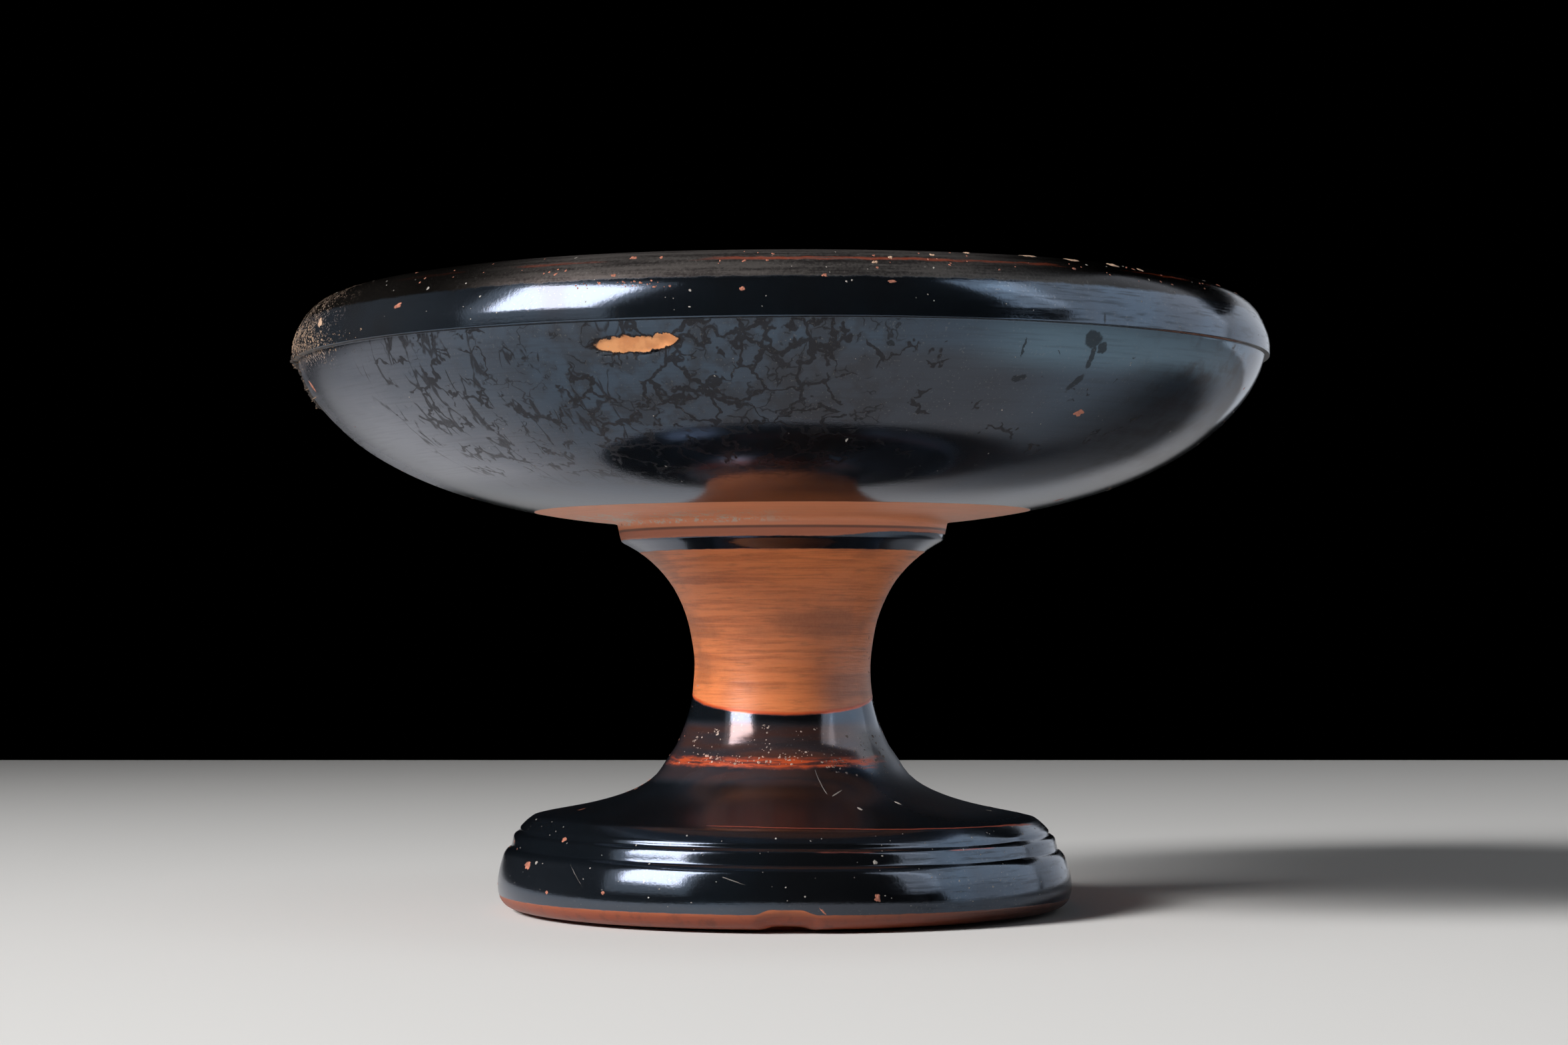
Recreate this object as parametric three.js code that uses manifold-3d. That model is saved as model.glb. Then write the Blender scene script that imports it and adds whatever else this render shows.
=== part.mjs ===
// A stemmed drinking cup of the kylix kind, made without handles: a wide shallow bowl with a
// thick rolled lip, a waisted stem and a broad disc foot that is hollow underneath. It was
// thrown on the wheel and fired as one vessel, so it is one solid. Its foot edge is chipped,
// its lip is notched on one side, and a flake is lost from the front of the bowl.
//
// Millimetres, +Z up. The origin is on the vessel's axis at the level that it rests on, and
// the front of the cup faces -Y.

import * as THREE from "three";
import { mergeVertices } from "three/addons/utils/BufferGeometryUtils.js";
import Module from "manifold-3d";

const wasm = await Module();
wasm.setup();

// Driving dimensions. Radii are measured from the vessel's axis, heights from the resting level.
const CUP_HEIGHT = 113.6;
const LIP_RADIUS = 90.8; // the widest point of the whole cup
const LIP_BELLY_HEIGHT = 105; // where the lip is widest
const LIP_BASE_HEIGHT = 101; // the groove that parts the lip from the bowl
const CREST_RADIUS = 78.3; // the top of the lip
const MOUTH_RADIUS = 75;
const WALL = 5.2; // thickness of the bowl
const BOWL_FLOOR_HEIGHT = 77.3; // the inside of the bowl, over the stem

const COLLAR_RADIUS = 31; // where the stem opens into the bowl
const COLLAR_HEIGHT = 72;
const STEM_RADIUS = 16.45; // the slimmest part of the stem
const STEM_WAIST_HEIGHT = 44.5;

const FOOT_RADIUS = 52.4;
const FOOT_BELLY_HEIGHT = 6.5; // where the foot is widest
const FOOT_TOP_HEIGHT = 16.6; // where the stem's flare meets the rounded shoulder
const SHOULDER_RADIUS = 46.6;
const FOOT_GROOVE_HEIGHT = 11.1;
const REST_OUTER_RADIUS = 48.4; // the flat ring that the cup rests on
const REST_INNER_RADIUS = 44;
const HOLLOW_HEIGHT = 38; // how far the hollow foot reaches up into the stem

const GROOVE_DEPTH = 0.6; // both turned grooves
const GROOVE_WIDTH = 1.3;
const SEGMENTS = 56; // faces round the vessel

const CLAY_BLACK = 0x1c1c20;

const at = (radius, height) => new THREE.Vector2(radius, height);

// One stretch of the profile: a cubic curve through two end points and two handles.
function curve(start, startHandle, endHandle, end, steps) {
  return new THREE.CubicBezierCurve(start, startHandle, endHandle, end).getPoints(steps);
}

// The lower half of the outside: resting ring, foot edge, grooved fascia and rounded shoulder.
function footOutline() {
  const underGroove = at(FOOT_RADIUS - 1.6, FOOT_GROOVE_HEIGHT - GROOVE_WIDTH / 2);
  const groove = at(underGroove.x - GROOVE_DEPTH, FOOT_GROOVE_HEIGHT);
  const overGroove = at(FOOT_RADIUS - 2.1, FOOT_GROOVE_HEIGHT + GROOVE_WIDTH / 2);
  const belly = at(FOOT_RADIUS, FOOT_BELLY_HEIGHT);
  const shoulder = at(SHOULDER_RADIUS, FOOT_TOP_HEIGHT);
  return [
    at(REST_INNER_RADIUS, 0),
    ...curve(at(REST_OUTER_RADIUS, 0), at(50.8, 0.6), at(FOOT_RADIUS, 2.6), belly, 4),
    ...curve(belly, at(FOOT_RADIUS, 8.4), at(51.6, 9.6), underGroove, 2).slice(1),
    groove,
    ...curve(overGroove, at(49.9, 14.6), at(49, 15.9), shoulder, 4),
  ];
}

// The flare of the foot, rising in two sweeps to the waist of the stem, and out to the bowl.
function stemOutline() {
  const shoulder = at(SHOULDER_RADIUS, FOOT_TOP_HEIGHT);
  const knee = at(22.5, 26.4);
  const waist = at(STEM_RADIUS, STEM_WAIST_HEIGHT);
  const throat = at(COLLAR_RADIUS - 1.2, COLLAR_HEIGHT - 3.8);
  return [
    ...curve(shoulder, at(41, 17.9), at(26.3, 20), knee, 6).slice(1),
    ...curve(knee, at(19.2, 31.9), at(STEM_RADIUS, 34.6), waist, 5).slice(1),
    ...curve(waist, at(STEM_RADIUS, 50.5), at(18.2, 62.5), throat, 6).slice(1),
    at(COLLAR_RADIUS, COLLAR_HEIGHT),
  ];
}

// The underside of the bowl, the groove, and the lip rolled over to its crest.
function bowlOutline() {
  const collar = at(COLLAR_RADIUS, COLLAR_HEIGHT);
  const brim = at(LIP_RADIUS - 1, LIP_BASE_HEIGHT - GROOVE_WIDTH / 2);
  const groove = at(brim.x - GROOVE_DEPTH, LIP_BASE_HEIGHT);
  const lipEdge = at(LIP_RADIUS - 0.5, LIP_BASE_HEIGHT + GROOVE_WIDTH / 2);
  const belly = at(LIP_RADIUS, LIP_BELLY_HEIGHT);
  const crest = at(CREST_RADIUS, CUP_HEIGHT);
  return [
    ...curve(collar, at(78.6, 75.9), at(89.7, 95.8), brim, 11).slice(1),
    groove,
    ...curve(lipEdge, at(90.2, 102.4), at(LIP_RADIUS, 103.6), belly, 2),
    ...curve(belly, at(90.3, 109.2), at(86.2, 113.6), crest, 6).slice(1),
  ];
}

// The inside: round the mouth, back under the lip, and down an even wall to the flat floor.
function insideOutline() {
  const crest = at(CREST_RADIUS, CUP_HEIGHT);
  const mouth = at(MOUTH_RADIUS, CUP_HEIGHT - 3);
  const hollow = at(LIP_RADIUS - 1 - WALL, LIP_BASE_HEIGHT - 0.5);
  const floorEdge = at(COLLAR_RADIUS, COLLAR_HEIGHT + 5.6);
  const centre = at(0, BOWL_FLOOR_HEIGHT);
  return [
    ...curve(crest, at(76.2, CUP_HEIGHT), at(MOUTH_RADIUS, 112.4), mouth, 3).slice(1),
    ...curve(mouth, at(MOUTH_RADIUS, 107), at(hollow.x, 106), hollow, 4).slice(1),
    ...curve(hollow, at(hollow.x, 99.1), at(76.3, 80.9), floorEdge, 8).slice(1),
    ...curve(floorEdge, at(20, 77.3), at(10, centre.y), centre, 2).slice(1),
  ];
}

// The underside: from the top of the hollow down a cone to the ring that the cup rests on.
function hollowOutline() {
  const top = at(0, HOLLOW_HEIGHT);
  const brink = at(REST_INNER_RADIUS, 0);
  const cheek = at(REST_INNER_RADIUS - 2.6, 3.4);
  return [
    ...curve(top, at(6, HOLLOW_HEIGHT), at(8.4, 34), at(10.6, 26), 4),
    ...curve(at(10.6, 26), at(13.4, 16.4), at(24, 11), cheek, 5).slice(1),
    ...curve(cheek, at(43, 2.6), at(brink.x, 1), brink, 2).slice(1, -1),
  ];
}

// The whole vessel turned about its axis, before it was damaged. The profile runs from the
// top of the hollow, round the outside and over the lip, to the middle of the bowl's floor.
function turnedVessel() {
  const profile = [
    ...hollowOutline(),
    ...footOutline(),
    ...stemOutline(),
    ...bowlOutline(),
    ...insideOutline(),
  ];
  return new THREE.LatheGeometry(profile, SEGMENTS).rotateX(Math.PI / 2);
}

// A scoop is the hollow left by a lost flake of clay: a flattened ball of the given length
// round the vessel, height and depth, set at a radius, a height and a bearing. The bearing is
// in degrees from the front, towards +X.
function scoop({ bearing, radius, height, length, rise, depth, lean = 0 }) {
  const turn = THREE.MathUtils.degToRad(bearing - 90);
  return new THREE.SphereGeometry(1, 16, 10)
    .scale(depth, length / 2, rise / 2)
    .rotateY(THREE.MathUtils.degToRad(-lean))
    .translate(radius, 0, height)
    .rotateZ(turn);
}

const FOOT_CHIP = { bearing: 2, radius: 50.6, height: 0.7, length: 12, rise: 3.2, depth: 1.5 };
const LIP_NOTCH = { bearing: 86, radius: 86.4, height: 112, length: 4.6, rise: 2.6, depth: 3 };
const BOWL_FLAKE = {
  bearing: -16, radius: 88.9, height: 97.6, length: 14, rise: 3.4, depth: 0.8, lean: -14,
};

// A closed geometry as a solid: its doubled points are merged and its collapsed faces left out.
function solidOf(geometry) {
  geometry.deleteAttribute("normal");
  geometry.deleteAttribute("uv");
  const merged = mergeVertices(geometry, 1e-3);
  const corners = merged.index.array;
  const faces = [];
  for (let i = 0; i < corners.length; i += 3) {
    const [a, b, c] = corners.subarray(i, i + 3);
    if (a !== b && b !== c && c !== a) faces.push(a, b, c);
  }
  return new wasm.Manifold(new wasm.Mesh({
    numProp: 3,
    vertProperties: merged.attributes.position.array,
    triVerts: Uint32Array.from(faces),
  }));
}

// A solid back as a geometry.
function geometryOf(solid) {
  const { vertProperties, triVerts } = solid.getMesh();
  const geometry = new THREE.BufferGeometry();
  geometry.setAttribute("position", new THREE.BufferAttribute(vertProperties, 3));
  geometry.setIndex(new THREE.BufferAttribute(triVerts, 1));
  geometry.computeVertexNormals();
  return geometry;
}

function makeCup() {
  let vessel = solidOf(turnedVessel());
  for (const loss of [FOOT_CHIP, LIP_NOTCH, BOWL_FLAKE]) {
    vessel = vessel.subtract(solidOf(scoop(loss)));
  }
  const blackGloss = new THREE.MeshStandardMaterial({
    color: CLAY_BLACK, roughness: 0.18, metalness: 0,
  });
  const cup = new THREE.Mesh(geometryOf(vessel), blackGloss);
  cup.name = "cup";
  return cup;
}

const group = new THREE.Group();
group.add(makeCup());

export default group;
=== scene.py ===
"""A stemmed black-gloss drinking cup of fired clay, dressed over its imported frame.

The whole vessel is one surface turned about the Z axis. Its skin is worked out on a grid of
bearing round the axis against distance along the profile, then leaned, worn and chipped as the
old cup is. Lengths are in millimetres until the mesh is made, and in metres from there on.
Bearings are in degrees from the front, which faces -Y, towards +X.
"""

import math
from functools import reduce
from types import SimpleNamespace
from typing import NamedTuple

import bpy
import numpy as np
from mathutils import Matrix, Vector


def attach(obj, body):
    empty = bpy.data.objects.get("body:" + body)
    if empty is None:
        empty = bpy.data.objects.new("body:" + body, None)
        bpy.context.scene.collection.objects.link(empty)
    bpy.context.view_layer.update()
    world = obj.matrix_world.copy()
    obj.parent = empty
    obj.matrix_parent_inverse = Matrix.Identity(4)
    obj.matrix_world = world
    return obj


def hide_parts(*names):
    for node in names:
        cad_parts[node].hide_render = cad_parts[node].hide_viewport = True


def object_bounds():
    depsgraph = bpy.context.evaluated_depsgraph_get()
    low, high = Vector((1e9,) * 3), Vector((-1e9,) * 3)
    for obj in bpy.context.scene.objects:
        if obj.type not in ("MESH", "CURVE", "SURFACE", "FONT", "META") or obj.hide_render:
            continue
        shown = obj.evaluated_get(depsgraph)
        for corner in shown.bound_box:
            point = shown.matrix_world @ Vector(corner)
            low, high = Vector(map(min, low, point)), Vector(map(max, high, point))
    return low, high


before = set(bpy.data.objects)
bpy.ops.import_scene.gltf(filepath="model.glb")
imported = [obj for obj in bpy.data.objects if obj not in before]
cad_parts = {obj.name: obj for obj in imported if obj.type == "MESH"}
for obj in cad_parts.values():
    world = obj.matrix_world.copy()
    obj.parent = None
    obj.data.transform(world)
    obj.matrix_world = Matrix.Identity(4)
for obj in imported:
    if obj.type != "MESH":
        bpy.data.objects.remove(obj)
CAD_LOW, CAD_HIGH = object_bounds()

bl_info = {
    "name": "Stemmed Black-Gloss Cup",
    "version": (1, 0, 0),
    "blender": (4, 5, 0),
    "location": "3D View > Sidebar > Cup",
    "description": "Makes a worn stemmed cup of black-gloss pottery and a plain stage for it",
    "category": "Add Mesh",
}

MM = 0.001
LIP_RADIUS = (CAD_HIGH.x - CAD_LOW.x) / 2 / MM
CUP_HEIGHT = (CAD_HIGH.z - CAD_LOW.z) / MM


# ---- Settings that a user would change ----

def length_setting(name, description, millimetres):
    """A length in metres, shown in the scene's units, with its default given in millimetres."""
    return bpy.props.FloatProperty(
        name=name, description=description, default=millimetres * MM, unit="LENGTH", precision=4
    )


def lamp_setting(name, description, default, unit="NONE"):
    """The power or the brightness of a lamp."""
    return bpy.props.FloatProperty(
        name=name, description=description, default=default, min=0, unit=unit
    )


def colour_setting(name, description, colour):
    """A linear colour."""
    return bpy.props.FloatVectorProperty(
        name=name, description=description, default=colour, size=3, min=0, max=1, subtype="COLOR"
    )


class CupShape(bpy.types.PropertyGroup):
    """The sizes that drive the vessel's profile."""

    lip_radius: length_setting("Lip Radius", "The widest point of the cup", LIP_RADIUS)
    height: length_setting("Height", "From the resting ring to the crest of the lip", CUP_HEIGHT)
    mouth_radius: length_setting("Mouth Radius", "Inner edge of the rolled lip", 75)
    wall: length_setting("Wall", "Thickness of the bowl", 5.2)
    collar_radius: length_setting("Collar Radius", "Where the stem opens into the bowl", 31)
    stem_radius: length_setting("Stem Radius", "The slimmest part of the stem", 16.45)
    foot_radius: length_setting("Foot Radius", "The widest part of the foot", 53.4)
    hollow_height: length_setting("Hollow Height", "Reach of the hollow foot", 38)
    lean: bpy.props.FloatProperty(
        name="Lean",
        description="How far the bowl sits out of level, raised on the +X side",
        default=math.radians(0.33),
        subtype="ANGLE",
    )


class CupFinish(bpy.types.PropertyGroup):
    """The colours of the fired slip, the clay under it and what has settled on them."""

    gloss: colour_setting("Gloss", "Mirror colour of the sintered black slip", (0.07, 0.095, 0.13))
    worn_gloss: colour_setting("Worn Gloss", "Slip that has lost its skin", (0.028, 0.027, 0.03))
    thin_gloss: colour_setting("Thin Gloss", "Slip brushed on thin, fired brown", (0.075, 0.021, 0.008))
    clay: colour_setting("Clay", "Bare fired clay", (0.76, 0.228, 0.078))
    fresh_clay: colour_setting("Fresh Clay", "Clay under a lost flake", (0.75, 0.33, 0.13))
    fringe: colour_setting("Fringe", "Red edge where the slip runs out", (0.6, 0.09, 0.021))
    earth: colour_setting("Earth", "Soil dried on the lip", (0.29, 0.195, 0.13))


class CupStage(bpy.types.PropertyGroup):
    """The floor and the lamps."""

    floor: colour_setting("Floor", "Plain matt floor", (0.8, 0.8, 0.8))
    key: lamp_setting("Key Light", "Power of the lamp at the front left", 8.5, "POWER")
    window: lamp_setting("Key Shine", "Brightness of the tall softbox mirrored in the gloss", 13)
    panel: lamp_setting("Side Shine", "Brightness of the screen mirrored on the right", 1.52)
    fill: lamp_setting("Fill", "Power of the weak light overhead", 1.2, "POWER")


# ---- Losses and marks ----

# Clay lost from the surface: bearing, height of the middle, length round the cup, height and
# depth of the loss, and its tilt in degrees.
FLAKE = dict(bearing=-16.2, height=97.6, length=14.2, rise=3.4, depth=0.55, tilt=2)
FOOT_CHIP = dict(bearing=0.6, height=1.9, length=10.5, rise=3.2, depth=0.6, tilt=0)
LIP_NOTCH = dict(bearing=84, height=112.2, length=4.2, rise=3.2, depth=1.6, tilt=0)
LOSSES = (FLAKE, FOOT_CHIP, LIP_NOTCH)


class Mark(NamedTuple):
    """A small patch on the outside: bearing and height of its middle, its length round the cup,
    its own height, and its tilt in degrees, up at the +X end."""

    bearing: float
    height: float
    length: float
    rise: float
    tilt: float = 0


def as_marks(*rows):
    """Marks from rows of bearing, height, length, rise and, where it is not 0, tilt."""
    return [Mark(*row) for row in rows]


BARE_PATCHES = as_marks(
    (-16.1, 97.6, 12.6, 2.6), (-12.3, 98.2, 4.6, 1.9),
)
SALMON_CHIPS = as_marks(
    # lip
    (-45.6, 106.5, 1.8, 0.9, 12), (-16.1, 112.0, 1.3, 0.6), (-17.6, 108.8, 1.0, 0.6),
    (-3.9, 106.0, 1.0, 0.9), (4.5, 108.3, 0.9, 0.6), (11.5, 107.3, 1.5, 0.6),
    # bowl
    (-75.0, 96.3, 2.4, 1.8, -30), (38.4, 87.9, 2.2, 1.3),
    # foot
    (-60.6, 9.5, 2.9, 1.4), (-51.7, 14.4, 1.6, 1.0), (-51.7, 5.4, 1.0, 0.8),
    (-36.1, 6.2, 0.8, 0.7), (17.3, 6.2, 1.3, 1.4), (7.1, 4.0, 1.6, 0.45, -50),
)
CREAM_CHIPS = as_marks(
    (-63.3, 105.9, 2.4, 1.7, -30), (10.0, 110.7, 1.3, 0.6), (11.8, 111.6, 0.9, 0.6),
    (16.8, 112.3, 1.1, 0.5), (21.7, 113.2, 1.2, 0.5), (29.9, 113.3, 2.8, 0.6),
    (35.6, 112.9, 2.8, 0.8), (41.3, 112.6, 2.0, 0.8), (45.3, 112.2, 1.1, 0.7),
)
PALE_SPECKS = as_marks(
    (-41.4, 109.0, 0.6, 0.5), (-9.2, 105.9, 0.5, 0.4), (8.4, 83.0, 0.4, 0.5),
    (24.2, 20.3, 0.8, 0.4), (41.3, 20.9, 0.7, 0.5), (-57.4, 10.1, 0.8, 0.6),
    (17.9, 12.1, 0.8, 0.7),
)
SCRATCHES = as_marks(
    (16.0, 24.6, 0.22, 4.0, 8), (21.0, 22.7, 2.4, 0.2, 20), (-9.7, 9.1, 4.4, 0.18, -17),
    (-44.0, 9.0, 7.0, 0.14, -40),
)
DARK_STAINS = as_marks(
    (35.0, 99.6, 4.0, 3.0), (36.6, 98.4, 2.2, 2.2), (35.5, 96.6, 1.2, 4.6),
    (34.8, 92.6, 1.3, 4.0, -40), (35.8, 103.0, 0.6, 1.6), (27.0, 93.0, 2.8, 1.3, 15),
    (26.4, 97.7, 0.5, 3.4), (11.3, 97.6, 1.6, 0.9),
)


# ---- The turned surface ----

CURVE_POINTS = 160  # points worked out along each curve, before the rows are cut
STEP_HEIGHT = 101.5  # the step under the lip


def sweep(*points):
    """A cubic curve through its first and last point, pulled by the two between them.

    Each point is weighed by one of the four terms of (rest + t) cubed, where rest is 1 - t and
    t runs from 0 to 1.
    """
    t = np.linspace(0, 1, CURVE_POINTS)[:, None]
    start, pull, draw, end = (np.array(p, float) for p in points)
    rest = 1 - t
    return rest**3 * start + 3 * rest**2 * t * pull + 3 * rest * t**2 * draw + t**3 * end


# Sides of the vessel, as the paint sees them
BENEATH, OUTSIDE, INSIDE = -1.0, 0.0, 1.0


def turned_profile(shape):
    """The profile as stretches of (points, side, rows to a millimetre), from the top of the
    hollow foot, round the outside and over the lip, to the middle of the bowl's floor.

    A span is a side, the rows to a millimetre, the two points that pull on its curve and its
    end, in (radius, height). It starts where the span before it ends.
    """
    lip, tall = shape.lip_radius / MM, shape.height / MM
    mouth, wall = shape.mouth_radius / MM, shape.wall / MM
    collar, stem = shape.collar_radius / MM, shape.stem_radius / MM
    foot, hollow = shape.foot_radius / MM, shape.hollow_height / MM
    brim = lip - 1
    undercut = brim - wall
    spans = [
        (BENEATH, 0.25, (6, hollow), (8.4, 34), (10.6, 26)),
        (BENEATH, 0.25, (13.4, 16.4), (24, 11), (41.4, 3.4)),
        (BENEATH, 0.8, (43, 2.6), (44, 1), (44, 0)),
        (BENEATH, 0.8, (45, 0), (45.8, 0), (46.6, 0)),
        (OUTSIDE, 1.3, (46.8, 0.5), (48, 0.6), (50.2, 0.65)),
        (OUTSIDE, 1.8, (52.2, 0.7), (foot, 2), (foot, 4.6)),
        (OUTSIDE, 1.8, (foot, 6.4), (foot - 0.5, 8.4), (foot - 1, 9.9)),
        (OUTSIDE, 3, (foot - 1.2, 10.5), (foot - 1.7, 11.1), (foot - 2.3, 11.4)),
        (OUTSIDE, 6, (51, 11.45), (50.9, 11.5), (50.85, 11.7)),
        (OUTSIDE, 2.5, (50.7, 12.4), (50.6, 13), (50.4, 13.7)),
        (OUTSIDE, 2.5, (50.1, 14), (49.6, 14.2), (49.4, 14.4)),
        (OUTSIDE, 4, (49.25, 14.6), (49.4, 14.9), (49.15, 15.2)),
        (OUTSIDE, 2, (48.6, 15.8), (47.8, 16.6), (46.8, 17.2)),
        (OUTSIDE, 0.6, (41, 18.5), (26.3, 20.2), (22.5, 26.4)),
        (OUTSIDE, 1, (21.4, 28.2), (20.3, 29.6), (19.75, 30.6)),
        (OUTSIDE, 1, (19.2, 32), (stem, 36.5), (stem, 44.5)),
        (OUTSIDE, 0.6, (stem, 50.5), (18.2, 62.5), (29.6, 68.07)),
        (OUTSIDE, 4, (29.9, 68.3), (30.2, 68.4), (30.25, 68.7)),
        (OUTSIDE, 1.5, (30.6, 69.8), (30.6, 70.6), (collar, 72)),
        (OUTSIDE, 0.5, (78.6, 75.9), (88.5, 95.5), (brim - 0.1, 101)),
        (OUTSIDE, 8, (brim - 0.06, 101.15), (brim - 0.02, 101.3), (brim, STEP_HEIGHT)),
        (OUTSIDE, 5, (brim + 0.3, 101.55), (brim + 0.6, 101.6), (lip - 0.04, 101.64)),
        (OUTSIDE, 12, (lip, 101.66), (lip, 101.7), (lip, 101.9)),
        (OUTSIDE, 1.5, (lip, 102.4), (lip, 102.9), (lip, 103.4)),
        (OUTSIDE, 2, (lip, 104.9), (lip - 0.55, 106.3), (lip - 1.15, 107.6)),
        (OUTSIDE, 0.9, (lip - 2.55, 110.63), (85.4, tall), (78.3, tall)),
        (INSIDE, 1, (76.2, tall), (mouth, tall - 1.2), (mouth, tall - 3)),
        (INSIDE, 0.5, (mouth, 107), (undercut, 106), (undercut, 100.5)),
        (INSIDE, 0.35, (undercut, 99.1), (76.3, 80.9), (collar, 77.6)),
        (INSIDE, 0.3, (20, 77.3), (10, 77.3), (0, 77.3)),
    ]
    start, stretches = (0, hollow), []
    for side, density, *points in spans:
        stretches.append((sweep(start, *points), side, density))
        start = points[-1]
    return stretches


# Rows added to a millimetre at the flake's height, and how far up and down they reach
EXTRA_ROWS, EXTRA_REACH = 2.2, 2.2


def profile_rows(shape):
    """Radius, height, side and distance along the profile at each row of the grid.

    The stretches are joined end to end and cut anew, so that each millimetre of a stretch gets
    its own number of rows, and more at the height of the lost flake.
    """
    points, sides, rows = [], [], []
    for stretch, side, density in turned_profile(shape):
        points.append(stretch[:-1])
        sides.append(np.full(len(stretch) - 1, side))
        rows.append(np.full(len(stretch) - 1, density))
    path = np.vstack(points + [stretch[-1:]])
    sides = np.append(np.concatenate(sides), INSIDE)
    middle = (path[1:] + path[:-1]) / 2
    at_flake = np.exp(-(((middle[:, 1] - FLAKE["height"]) / EXTRA_REACH) ** 2))
    density = np.concatenate(rows) + EXTRA_ROWS * at_flake * (sides[:-1] == OUTSIDE)
    pieces = np.hypot(*np.diff(path, axis=0).T)
    distance = np.concatenate([[0], np.cumsum(pieces)])
    run = np.concatenate([[0], np.cumsum(pieces * density)])
    cuts = np.linspace(0, run[-1], int(run[-1]) + 1)
    radius, height, along = (np.interp(cuts, run, v) for v in (path[:, 0], path[:, 1], distance))
    side = sides[np.clip(np.searchsorted(run, cuts, side="right") - 1, 0, len(sides) - 1)]
    return radius, height, side, along


COLUMNS = 384
FINE_BEARING, FINE_SPREAD = -16.0, 8.0  # the lost flake, where the grid is finest


def bearings(count):
    """Bearings of the columns in degrees, from -180 up to but not including 180.

    The spacing is the inverse of a density that is 1 behind, 1.8 in front and up to 1.6 more at
    the lost flake; the columns share out the summed density evenly.
    """
    fine = np.linspace(-180, 180, 3601)
    density = 1.4 + 0.4 * np.cos(np.radians(fine))
    density += 1.6 * np.exp(-(((fine - FINE_BEARING) / FINE_SPREAD) ** 2))
    share = np.concatenate([[0], np.cumsum((density[1:] + density[:-1]) / 2)])
    return np.interp(np.arange(count) / count * share[-1], share, fine)


# ---- Damage and unevenness ----

FOOT_SHIFT, FOOT_SAG = 0.3, 0.007  # to the right in millimetres, and down as a share of x
LEAN_START, LEAN_FULL, LEAN_PIVOT = 40, 70, 60  # heights


def loss_depth(loss, bearing, radius, height):
    """Depth in millimetres of one loss over the grid.

    An oval in arc length and height; the depth is full to 0.85 of the way out and falls evenly
    to nothing at 1.1.
    """
    around = np.radians(bearing - loss["bearing"]) * radius
    above = height - loss["height"]
    turn = math.radians(loss["tilt"])
    along = around * math.cos(turn) + above * math.sin(turn)
    across = above * math.cos(turn) - around * math.sin(turn)
    out = np.hypot(along / (loss["length"] / 2), across / (loss["rise"] / 2))
    return loss["depth"] * np.clip((1.1 - out) / 0.25, 0, 1)


def ripple(bearing, height, seed, waves, step, amplitude):
    """A slow unevenness: a sum of waves that each run a whole number of times round the cup and
    rise at a random pitch, with random phases."""
    chance = np.random.default_rng(seed)
    total = np.zeros(np.broadcast(bearing, height).shape)
    for _ in range(waves):
        times = chance.integers(1, 7)
        pitch = chance.uniform(0.3, 1) * 2 * math.pi / step
        phase = chance.uniform(0, 2 * math.pi)
        total += np.cos(np.radians(bearing) * times + height * pitch + phase)
    return total * amplitude / math.sqrt(waves)


def vessel_points(shape, bearing, along):
    """The worn surface and its outward normal, in millimetres, at bearings and distances along
    the profile that broadcast together.

    Each ring of the profile is a circle, (r sin b, -r cos b, h). It swells and sinks by slow
    ripples and wheel ridges, sinks at each loss along the profile's normal, and the bowl leans
    a little about the stem. The foot was set a little to the right, and its mouldings sag there.
    """
    r_row, h_row, side_row, along_row = profile_rows(shape)
    slope = np.gradient(np.stack([r_row, h_row]), axis=1)
    slope /= np.maximum(np.hypot(*slope), 1e-9)
    r, h, side, slope_r, slope_h = (
        np.interp(along, along_row, row) for row in (r_row, h_row, side_row, *slope)
    )
    free = np.clip(r / 12, 0, 1) * np.clip(h / 2, 0, 1)  # keeps the poles and the resting ring true
    push = (ripple(bearing, h, 11, 6, 40, 0.07) + ripple(bearing, h, 12, 7, 7, 0.03)) * free
    outer = np.abs(side) < 0.5
    for loss in LOSSES:
        push = push - loss_depth(loss, bearing, r, h) * outer
    b = np.radians(bearing)
    r2, z2 = r + push * slope_h, h - push * slope_r
    x, y = r2 * np.sin(b), -r2 * np.cos(b)
    low = np.clip((26 - h) / 6, 0, 1)
    x = x + FOOT_SHIFT * low
    z2 = z2 - FOOT_SAG * x * low * np.clip((h - 1) / 8, 0, 1)
    share = np.clip((h - LEAN_START) / (LEAN_FULL - LEAN_START), 0, 1) * math.sin(shape.lean)
    z = z2 + share * x
    x = x - share * (z2 - LEAN_PIVOT)
    points = np.stack(np.broadcast_arrays(x, y, z), -1)
    normals = np.stack(np.broadcast_arrays(slope_h * np.sin(b), -slope_h * np.cos(b), -slope_r), -1)
    return points, normals


def grid_faces(rows, columns):
    """Quads and triangles of a grid that closes on itself round the axis and has a pole at each
    end, which face outwards where the rows run upwards on the outside.

    Quads are (lower left, lower right, upper right, upper left). The poles are the two points
    after the grid's: triangles join the first row to the one and the last row to the other.
    """
    across = np.arange(columns)
    right = (across + 1) % columns
    low = np.arange(rows - 1)[:, None] * columns
    quads = [low + across, low + right, low + columns + right, low + columns + across]
    top, pole = (rows - 1) * columns, np.full(columns, rows * columns)
    fans = [(right, across, pole), (top + across, top + right, pole + 1)]
    return np.stack(quads, -1).reshape(-1, 4), np.concatenate([np.stack(f, -1) for f in fans])


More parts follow.
